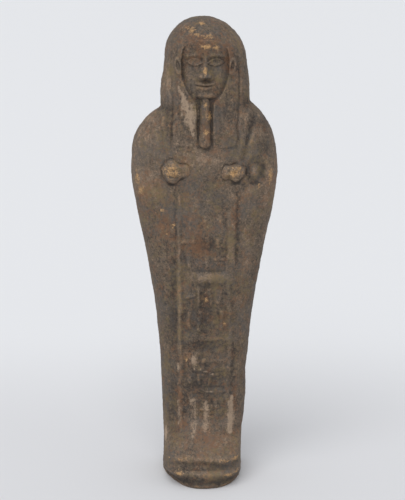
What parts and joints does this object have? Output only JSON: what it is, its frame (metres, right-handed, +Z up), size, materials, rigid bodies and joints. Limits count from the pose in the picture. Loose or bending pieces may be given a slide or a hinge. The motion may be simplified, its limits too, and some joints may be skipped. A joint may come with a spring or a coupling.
{
  "type": "funerary figurine of a pharaoh",
  "caption": "Upright mummiform figure of a pharaoh with wig, long beard and two fists on its chest, a worn sign panel down its front, carved as one with its low plinth.",
  "frame": {"origin": "on the underside, straight below the figure's upright axis", "axes": "+Z up the figure from its feet to its crown, -Y the way its face and toes point, +X to the viewer's right"},
  "size_m": [0.0628, 0.0438, 0.2],
  "materials": {
    "aged_stone": "dull, handled and weathered dark brown stone, with paler scrapes, dirt in the recesses and orange-tan worn high points"
  },
  "bodies": {
    "root": {"figure_on_plinth": "aged_stone"}
  },
  "joints": []
}
